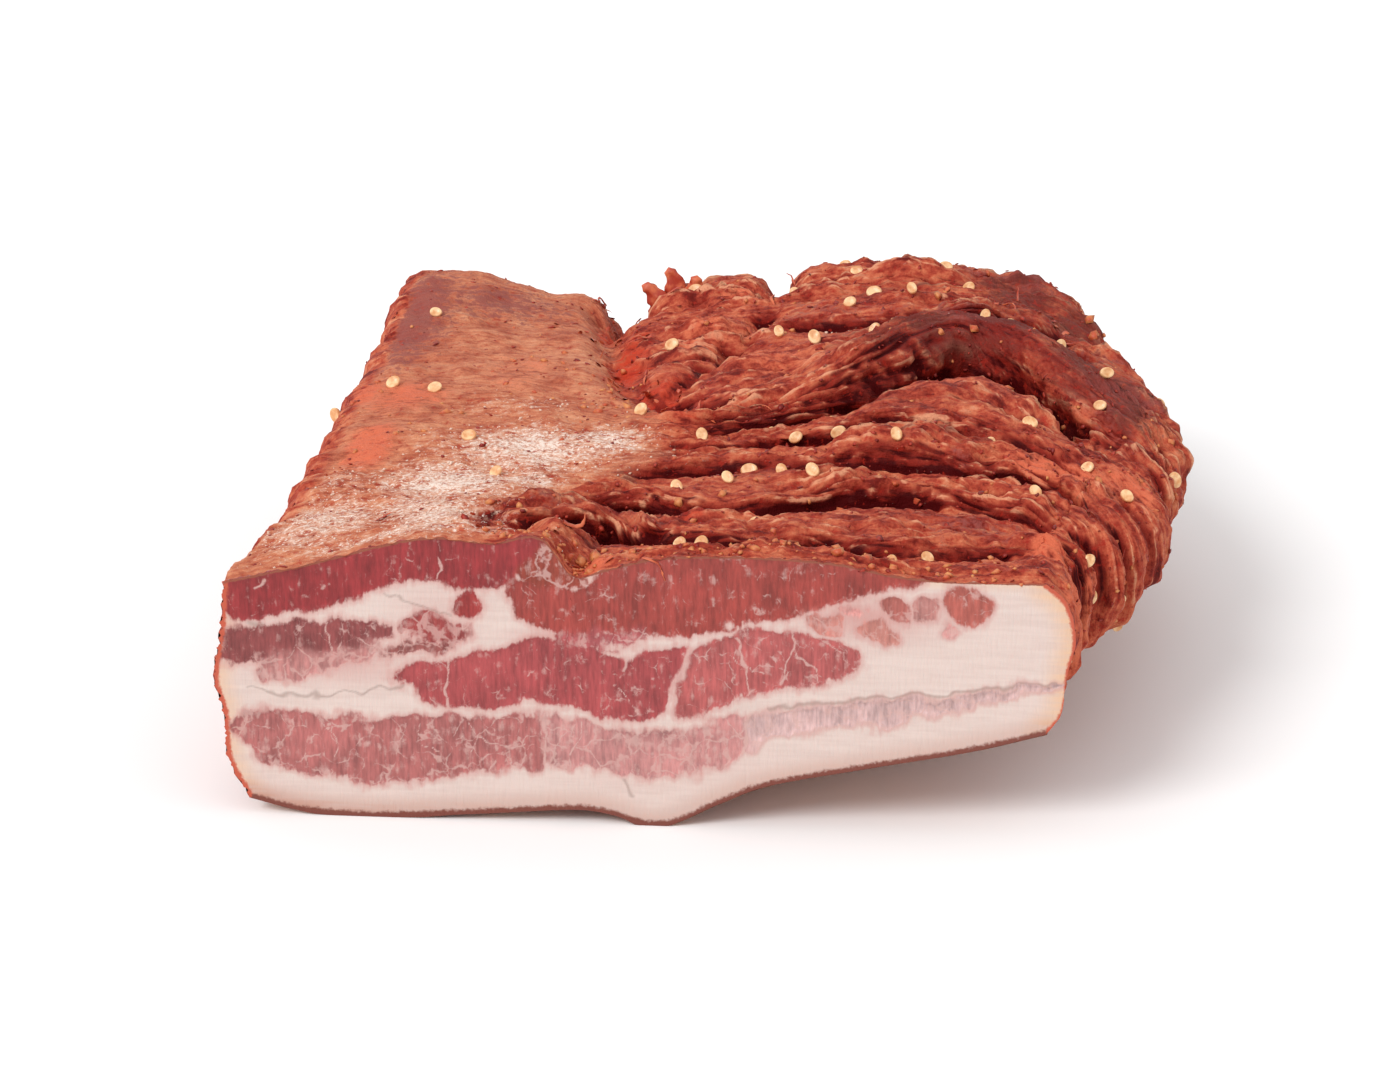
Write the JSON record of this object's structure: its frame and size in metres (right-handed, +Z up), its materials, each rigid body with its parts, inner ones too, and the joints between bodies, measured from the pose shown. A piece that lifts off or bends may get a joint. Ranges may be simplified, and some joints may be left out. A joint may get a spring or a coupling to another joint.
{
  "type": "pancetta",
  "caption": "Cut half of a flat cured pork belly: a clean cut face with lean and fat in layers, a furrowed top rubbed with chilli, rind underneath.",
  "frame": {"origin": "middle of the slab's plan, on the ground it lies on", "axes": "+Y from the clean cut face into the slab, +X to the right as the cut face is looked at, +Z up from the rind to the furrowed inner side"},
  "size_m": [0.2368, 0.294, 0.0785],
  "materials": {
    "cured_meat": "satin"
  },
  "bodies": {
    "root": {"pancetta": "cured_meat"}
  },
  "joints": []
}
